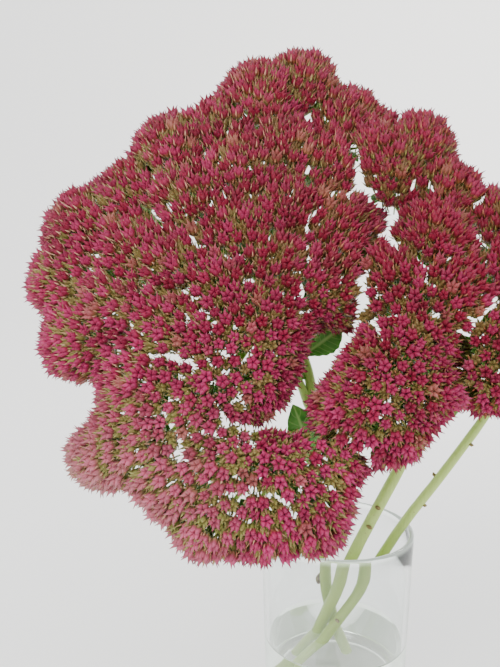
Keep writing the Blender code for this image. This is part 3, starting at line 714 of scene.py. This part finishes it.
DOME_TRIM = {  # millimetres for each lobe, so that the beaks end in place
    "top": (2, 2.5, 5.5), "crest": (7.5, 3, 9), "left": (3.5, 4, 5.5, 3, 1),
    "upper": (3, 3, 3, 3, 3, 3, 5), "middle": (2, 2, 2, 2, 2, -1, 0), "inner": (-2.5, 2, 5),
    "side": (6.5, 2), "lower": (10.5, 6.5, 9, 6, 8, 4, 3.5), "shoulder": (1, 5.5, 8, 2),
    "heart": (2, 2.5, 1), "skirt": (0, -2, 8, 9), "far_top": (9, 3.5, 3.5),
    "far_side": (4, 4, 7, 4)}
VALLEY_FILL = 6.5 * MM  # how far the heads round over the valleys between lobes
NEAR_ENOUGH = 1.3  # times two lobes' radii; a lobe beyond it has no say


def template(name, parts):
    """A mesh to repeat, each part marked with its tissue and with the place along it."""
    bm = bmesh.new()
    tissue_of = bm.faces.layers.int.new("tissue")
    along_of = bm.verts.layers.float.new("along")
    for tissue, along, rings, tip in parts:
        rows, faces = stack(bm, rings, tip)
        for face in faces:
            face[tissue_of] = tissue
        for row, value in zip(rows, along):
            for vert in row:
                vert[along_of] = value
    return finished(name, bm)


def seed_head(name, spread, seed):
    """Five pods with turned-out beaks, five dry petals, and a calyx on a stalk."""
    draw = random.Random(seed)
    parts = []
    for k in range(5):
        angle = 2 * math.pi * k / 5 + draw.uniform(-POD_TURN, POD_TURN)
        out = Vector((math.cos(angle), math.sin(angle), 0)) * MM
        across = Vector((-out.y, out.x, 0))
        uneven = draw.uniform(1 - POD_UNEVENNESS, 1 + POD_UNEVENNESS)
        top = Vector((0, 0, POD_LENGTH * uneven))
        rings = []
        for t, distance, size in POD_RINGS:
            middle = out * distance * (1 + (spread - 1) * t) + top * t
            rings.append([middle + way * size for way in (out, across, -out, -across)])
        parts.append((PODS, [t for t, _, _ in POD_RINGS] + [1.0], rings,
                      out * BEAK_REACH * spread + top))
        angle += math.pi / 5
        out = Vector((math.cos(angle), math.sin(angle), 0)) * MM
        across = Vector((-out.y, out.x, 0))
        top = Vector((0, 0, draw.uniform(*PETAL_RISE) * MM))
        middle = out * 2.7 + top * 0.45
        parts.append((PETALS, (0.0, 1.0),
                      [(out * 1.1, middle + across * 0.5, middle - across * 0.5)],
                      out * draw.uniform(*PETAL_REACH) + top))
    calyx = [(radius * MM, height * MM) for radius, height in CALYX_PROFILE]
    parts.append((STALKS, (0.0, 0.7, 1.0), level_rings(calyx, 4), None))
    return template(name, parts)


# Ripe pod skin: satin, deep pink to crimson, paler and greener at its base and darker at
# the beak, with a painted highlight, a lighter band seven tenths of the way up. Darker flecks
# and duller patches are partly the skin's own uneven tone and partly painted shade between
# heads and lobes. Heads in the shade of the bunch, low and to the left, have stayed pinker,
# the lowest have faded, and late heads are still green-brown.
POD_STOPS = (0.0, 0.26, 0.5, 0.7, 1.0)
CRIMSON_POD_AND_HIGHLIGHT = ("#6F6430", "#86582E", "#74122A", "#8C2038", "#5E1429")
PINK_POD_AND_HIGHLIGHT = ("#98904C", "#A88A54", "#9C1C4A", "#C04274", "#8A1C4C")
FLECK_SIZE = 1.1 * MM
PATCH_SIZE = 16 * MM
pod_finish, tree, shader = new_finish("ripe_sedum_pod_skin", {
    "Roughness": 0.42, "IOR": 1.45, "Specular IOR Level": 0.3, "Subsurface Weight": 0.15,
    "Subsurface Radius": (1.0, 0.3, 0.4), "Subsurface Scale": 0.0015})
where = add_node(tree, "ShaderNodeTexCoord").outputs["Object"]
place = add_node(tree, "ShaderNodeSeparateXYZ", {"Vector": where}).outputs
along, tint, late = (add_node(tree, "ShaderNodeAttribute", attribute_name=label).outputs["Fac"]
                     for label in ("along", "tint", "late"))
flecks = add_node(tree, "ShaderNodeTexNoise",
                  {"Vector": where, "Scale": 1 / FLECK_SIZE, "Detail": 2.0})
patches = add_node(tree, "ShaderNodeTexNoise",
                   {"Vector": where, "Scale": 1 / PATCH_SIZE, "Detail": 3.0,
                    "Roughness": 0.7})
# The flecks and patches below darken the pods at random: partly the skin's own tone, partly
# painted shade between heads and lobes.
low, leftward, west, lowest, greener, flecks_and_painted_shade, patches_and_painted_shade = (
    add_node(tree, "ShaderNodeMapRange", {"Value": value, 1: start, 2: end, 3: least, 4: most})
    for value, start, end, least, most in (
        (place["Z"], 0.26, 0.14, 0.0, 0.75), (place["X"], 0.0, -0.14, 0.0, 0.4),
        (place["X"], -0.04, -0.11, 0.0, 0.4), (place["Z"], 0.20, 0.15, 0.0, 1.0),
        (tint, 0.92, 0.98, 0.0, 0.5), (flecks, 0.3, 0.8, -0.12, 0.35),
        (patches, 0.42, 0.72, 0.0, 0.7)))
pinker = add_node(tree, "ShaderNodeMath", {0: low, 1: leftward}, operation="ADD")
scatter = add_node(tree, "ShaderNodeMath", {0: tint, 1: 0.7, 2: -0.35},
                   operation="MULTIPLY_ADD")
pinkness = add_node(tree, "ShaderNodeMath", {0: pinker, 1: scatter}, operation="ADD",
                    use_clamp=True)
# The lighter stop at 0.7 on both ramps is a painted highlight.
crimson, pink = (add_node(tree, "ShaderNodeValToRGB", {"Fac": along},
                          stops=dict(zip(POD_STOPS, colours)))
                 for colours in (CRIMSON_POD_AND_HIGHLIGHT, PINK_POD_AND_HIGHLIGHT))
faded = add_node(tree, "ShaderNodeMath", {0: west, 1: lowest}, operation="MULTIPLY")
lateness = add_node(tree, "ShaderNodeMath", {0: late, 1: 0.74}, operation="MULTIPLY")
unripe = add_node(tree, "ShaderNodeMix", {0: pinker, 6: "#6A5A30", 7: "#8C9E4A"},
                  data_type="RGBA")
colour = crimson
for share, over in ((pinkness, pink), (flecks_and_painted_shade, "#5A1026"), (greener, "#8A7440"),
                    (patches_and_painted_shade, "#5E1E26"), (faded, "#C0A894"), (lateness, unripe)):
    colour = add_node(tree, "ShaderNodeMix", {0: share, 6: colour, 7: over}, data_type="RGBA")
set_inputs(shader, {"Base Color": colour})

# Dry petals: papery and matt, cream to pale pink, browner on the heads that ripened first
# and greener on the late ones.
petal_finish, tree, shader = new_finish("dry_sedum_petal", {"Roughness": 0.75, "IOR": 1.4})
where = add_node(tree, "ShaderNodeTexCoord").outputs["Object"]
place = add_node(tree, "ShaderNodeSeparateXYZ", {"Vector": where}).outputs
tint, late = (add_node(tree, "ShaderNodeAttribute", attribute_name=label).outputs["Fac"]
              for label in ("tint", "late"))
browning = add_node(tree, "ShaderNodeMapRange", {"Value": place["X"], 1: -0.12, 2: 0.06, 4: 0.75})
browned = add_node(tree, "ShaderNodeMath", {0: tint, 1: 0.45, 2: browning},
                   operation="MULTIPLY_ADD", use_clamp=True)
fresh = add_node(tree, "ShaderNodeMath", {0: late, 1: 0.6}, operation="MULTIPLY")
colour = "#CCA084"
for share, over in ((browned, "#A0583A"), (fresh, "#8CA04C")):
    colour = add_node(tree, "ShaderNodeMix", {0: share, 6: colour, 7: over}, data_type="RGBA")
set_inputs(shader, {"Base Color": colour})

# Stalks and calyx: soft green skin, paler towards the seed head, rusty on some.
stalk_finish, tree, shader = new_finish("green_sedum_stalk", {"Roughness": 0.55, "IOR": 1.45})
along, tint = (add_node(tree, "ShaderNodeAttribute", attribute_name=label).outputs["Fac"]
               for label in ("along", "tint"))
rusty = add_node(tree, "ShaderNodeMath", {0: tint, 1: 0.3}, operation="MULTIPLY")
colour = "#5F8A2E"
for share, over in ((along, "#A4C25E"), (rusty, "#8A6A3C")):
    colour = add_node(tree, "ShaderNodeMix", {0: share, 6: colour, 7: over}, data_type="RGBA")
set_inputs(shader, {"Base Color": colour})


# The domes are worked out from the CAD lobes: the spheres are blended over the valleys
# between them, and each lobe keeps the part nearest to it. They only guide the seed
# heads, and are removed at the end.
def dome_faces(lobe, others):
    """The corners of the small triangles of a lobe's dome that lie in its own share."""
    bm = bmesh.new()
    bmesh.ops.create_icosphere(bm, subdivisions=DOME_DETAIL, radius=1)
    ways = np.array([vert.co for vert in bm.verts])
    middles = np.array([other.middle for other in [lobe] + others])
    radii = np.array([other.radius - other.trim for other in [lobe] + others])
    reach = np.full(len(ways), lobe.radius)
    for _ in range(DOME_ROUNDS):
        places = middles[0] + ways * reach[:, None]
        depth = np.linalg.norm(places[:, None] - middles[None], axis=2) - radii
        reach += VALLEY_FILL * np.log(np.exp(-depth / VALLEY_FILL).sum(axis=1))
    for vert, distance in zip(bm.verts, reach):
        vert.co = lobe.middle + vert.co * distance
    kept = []
    for face in bm.faces:
        place = face.calc_center_median()
        if ((place - lobe.middle).angle(lobe.axis) < math.radians(DOME_REACH)
                and all(lobe.power(place) < other.power(place) for other in others)):
            kept.append([vert.co.copy() for vert in face.verts])
    bm.free()
    return kept


for spray, group in lobes.items():
    for lobe, trim in zip(group, DOME_TRIM[spray]):
        lobe.trim = trim * MM
every_lobe = [lobe for group in lobes.values() for lobe in group]
rises = {spray: plant["rise"] for plant in PLANTS.values() for spray in plant["sprays"]}
corners = []
marks = {"spray": [], "boss": [], "rise": []}
for number, (spray, group) in enumerate(lobes.items()):
    for lobe in group:
        others = [other for other in every_lobe if other is not lobe
                  and ((other.middle - lobe.middle).length
                       < NEAR_ENOUGH * (other.radius + lobe.radius))]
        for face in dome_faces(lobe, others):
            corners += face
            marks["spray"].append(number)
            marks["boss"].append(lobe.boss)
            marks["rise"].append(Vector(rises[spray]) * MM)
dome_mesh = bpy.data.meshes.new("domes")
dome_mesh.from_pydata(corners, [], [(k, k + 1, k + 2) for k in range(0, len(corners), 3)])
for label, values in marks.items():
    kind, field = ("INT", "value") if label == "spray" else ("FLOAT_VECTOR", "vector")
    mark = dome_mesh.attributes.new(label, kind, "FACE")
    mark.data.foreach_set(field, np.array(values).ravel())
domes = add_object("domes", dome_mesh)

templates = [seed_head("seed_head_closed", 0.8, 1), seed_head("seed_head_open", 1.0, 2),
             seed_head("seed_head_wide", 1.15, 3)]
late_template = seed_head("late_head", 0.75, 4)
branchlet_template = template("branchlet", [
    (STALKS, (0.0, 0.7), level_rings(zip(BRANCHLET_RADII, (0.0, 1.0)), 4), None)])

tree, given = new_tree("seed_heads_on_domes", HEAD_SETTINGS)


def on_domes(spacing):
    """Evenly scattered points on the domes of one spray, with the way each dome faces."""
    spread = add_node(tree, "GeometryNodeDistributePointsOnFaces",
                      {"Mesh": given["Geometry"], "Distance Min": spacing,
                       "Density Max": MOST_PER_SQUARE_METRE, "Seed": given["Seed"]},
                      distribute_method="POISSON")
    spray = add_node(tree, "GeometryNodeInputNamedAttribute", {"Name": "spray"},
                     data_type="INT")
    elsewhere = add_node(tree, "FunctionNodeCompare", {2: spray, 3: given["Spray"]},
                         data_type="INT", operation="NOT_EQUAL")
    kept = add_node(tree, "GeometryNodeDeleteGeometry",
                    {"Geometry": spread, "Selection": elsewhere}, domain="POINT")
    return kept, spread.outputs["Normal"]


position = add_node(tree, "GeometryNodeInputPosition")
ways = {}
for label in ("boss", "rise"):
    start = add_node(tree, "GeometryNodeInputNamedAttribute", {"Name": label},
                     data_type="FLOAT_VECTOR")
    ways[label] = add_node(tree, "ShaderNodeVectorMath", {0: position, 1: start},
                           operation="SUBTRACT")
outward, risen = (add_node(tree, "ShaderNodeVectorMath", {0: way}, operation="NORMALIZE")
                  for way in ways.values())


def layer_of_heads(chosen, spacing, depth, sizes, late, seed):
    """Seed heads scattered over the domes, each facing out and a little its own way."""
    heads_at, facing = on_domes(spacing)
    wander, sinking, turn, choice, size = (
        add_node(tree, "FunctionNodeRandomValue",
                 {first: low, first + 1: high, "Seed": seed + number}, data_type=kind)
        for number, (kind, first, low, high) in enumerate((
            ("FLOAT_VECTOR", 0, (-1, -1, -1), (1, 1, 1)), ("FLOAT", 2, 0.0, 1.0),
            ("FLOAT", 2, 0.0, 2 * math.pi), ("INT", 4, 0, 2), ("FLOAT", 2, *sizes))))
    turned_up, wandered = (
        add_node(tree, "ShaderNodeVectorMath", {0: way, "Scale": given[share]},
                 operation="SCALE")
        for way, share in ((risen, "Turn To Rise"), (wander, "Scatter")))
    aim = outward
    for more in (facing, turned_up, wandered):
        aim = add_node(tree, "ShaderNodeVectorMath", {0: aim, 1: more}, operation="ADD")
    aim = add_node(tree, "ShaderNodeVectorMath", {0: aim}, operation="NORMALIZE")
    aimed = add_node(tree, "GeometryNodeStoreNamedAttribute",
                     {"Geometry": heads_at, "Name": "aim", "Value": aim},
                     data_type="FLOAT_VECTOR", domain="POINT")
    aim = add_node(tree, "GeometryNodeInputNamedAttribute", {"Name": "aim"},
                   data_type="FLOAT_VECTOR")
    sunk = add_node(tree, "ShaderNodeMath", {0: sinking, 1: given["Depth Spread"], 2: depth},
                    operation="MULTIPLY_ADD")
    down = add_node(tree, "ShaderNodeMath", {0: sunk, 1: -1.0}, operation="MULTIPLY")
    offset = add_node(tree, "ShaderNodeVectorMath", {0: aim, "Scale": down}, operation="SCALE")
    seated = add_node(tree, "GeometryNodeSetPosition", {"Geometry": aimed, "Offset": offset})
    upright = add_node(tree, "FunctionNodeAlignRotationToVector", {"Vector": aim}, axis="Z")
    spin = add_node(tree, "FunctionNodeAxisAngleToRotation", {"Axis": (0, 0, 1), "Angle": turn})
    spun = add_node(tree, "FunctionNodeRotateRotation",
                    {"Rotation": upright, "Rotate By": spin}, rotation_space="LOCAL")
    placed = add_node(tree, "GeometryNodeInstanceOnPoints",
                      {"Points": seated, "Instance": chosen, "Pick Instance": True,
                       "Instance Index": choice, "Rotation": spun, "Scale": size})
    return add_node(tree, "GeometryNodeStoreNamedAttribute",
                    {"Geometry": placed, "Name": "late", "Value": late}, domain="INSTANCE")


choices = add_node(tree, "GeometryNodeJoinGeometry")
held = [add_node(tree, "GeometryNodeObjectInfo",
                 {"Object": each, "As Instance": True}).outputs["Geometry"]
        for each in (*templates, late_template, branchlet_template)]
for each in held[:len(templates)]:
    set_inputs(choices, {"Geometry": each})
late_choice, stalk_body = held[len(templates):]

first_heads = layer_of_heads(choices, given["Spacing"], given["Pod Length"], HEAD_SIZES,
                             late=0.0, seed=11)
late_depth = add_node(tree, "ShaderNodeMath", {0: given["Pod Length"], 1: given["Late Depth"]},
                      operation="ADD")
late_heads = layer_of_heads(late_choice, given["Late Spacing"], late_depth, LATE_HEAD_SIZES,
                            late=1.0, seed=31)

stalks_at, _ = on_domes(given["Branchlet Spacing"])
reach = add_node(tree, "ShaderNodeVectorMath", {0: ways["boss"]}, operation="LENGTH")
buried = add_node(tree, "ShaderNodeMath", {0: given["Pod Length"], 1: given["Stalk Length"]},
                  operation="ADD")
stalk_reach = add_node(tree, "ShaderNodeMath", {0: reach, 1: buried}, operation="SUBTRACT")
stalk_size = add_node(tree, "ShaderNodeCombineXYZ", {"X": 1.0, "Y": 1.0, "Z": stalk_reach})
lean = add_node(tree, "FunctionNodeAlignRotationToVector", {"Vector": ways["boss"]}, axis="Z")
branchlets = add_node(tree, "GeometryNodeInstanceOnPoints",
                      {"Points": stalks_at, "Instance": stalk_body, "Rotation": lean,
                       "Scale": stalk_size})
back = add_node(tree, "ShaderNodeVectorMath", {0: ways["boss"], "Scale": -1.0},
                operation="SCALE")
rooted = add_node(tree, "GeometryNodeTranslateInstances",
                  {"Instances": branchlets, "Translation": back, "Local Space": False})

together = add_node(tree, "GeometryNodeJoinGeometry")
for each in (first_heads, late_heads, rooted):
    set_inputs(together, {"Geometry": each})
tint = add_node(tree, "FunctionNodeRandomValue", {2: 0.0, 3: 1.0, "Seed": 16})
tinted = add_node(tree, "GeometryNodeStoreNamedAttribute",
                  {"Geometry": together, "Name": "tint", "Value": tint}, domain="INSTANCE")
flow = add_node(tree, "GeometryNodeRealizeInstances", {"Geometry": tinted})
tissue = add_node(tree, "GeometryNodeInputNamedAttribute", {"Name": "tissue"}, data_type="INT")
for number, finish in ((PODS, pod_finish), (PETALS, petal_finish), (STALKS, stalk_finish)):
    here = add_node(tree, "FunctionNodeCompare", {2: tissue, 3: number}, data_type="INT",
                    operation="EQUAL")
    flow = add_node(tree, "GeometryNodeSetMaterial",
                    {"Geometry": flow, "Selection": here, "Material": finish})
add_node(tree, "NodeGroupOutput", {"Geometry": flow})

for number, spray in enumerate(lobes):
    spray_piece = grow(domes, tree, f"seed_heads_{spray}", {**HEAD_SETTINGS, "Spray": number})
    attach(spray_piece, "root")
    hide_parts(*[lobe.name for lobe in lobes[spray]])
for helper in (domes, branchlet_template, late_template, *templates):
    bpy.data.objects.remove(helper)

# A pale floor that curves up into a backdrop, a large soft window light from the left
# front, a glow on the backdrop, and a faint light from all round, as in a white room.
HALF_WIDTH = 3.2
FLOOR_FRONT = -2.4
BACKDROP_AT = 2.4
BACKDROP_TOP = 3.2
BEND_RADIUS = 0.8
BEND_STEPS = 12
LIGHTS = (("window", (-0.9, -1.1, 1.3), (0, 0, 0.2), 1.1, 18, "#FFFFFF"),
          ("wall_glow", (1.2, 0.8, 1.2), (0.5, 2.2, 0.3), 0.9, 30, "#FFFCF8"))
bends = [math.pi / 2 * k / BEND_STEPS for k in range(BEND_STEPS + 1)]
sweep = [(FLOOR_FRONT, 0.0)]
sweep += [(BACKDROP_AT - BEND_RADIUS * (1 - math.sin(a)), BEND_RADIUS * (1 - math.cos(a)))
          for a in bends]
sweep += [(BACKDROP_AT, BACKDROP_TOP)]
bm = bmesh.new()
rows = [[bm.verts.new((x, y, z)) for x in (-HALF_WIDTH, HALF_WIDTH)] for y, z in sweep]
for near, far in zip(rows, rows[1:]):
    bm.faces.new((near[0], near[1], far[1], far[0]))
floor = finished("pale_floor", bm)
paper_finish, _, _ = new_finish("matt_pale_paper", {"Roughness": 0.9, "Base Color": "#F8F7F4"})
floor.data.materials.append(paper_finish)

world = bpy.data.worlds.new("white_room")
world.use_nodes = True
set_inputs(world.node_tree.nodes["Background"], {"Color": "#F4F6FA", "Strength": 2.0})
bpy.context.scene.world = world
for label, place, target, size, power, colour in LIGHTS:
    lamp = bpy.data.lights.new(label, "AREA")
    lamp.size = size
    lamp.energy = power
    lamp.color = linear(colour)[:3]
    made = add_object(label, lamp)
    made.location = place
    aim_at = Vector(target) - Vector(place)
    made.rotation_euler = aim_at.to_track_quat("-Z", "Y").to_euler()
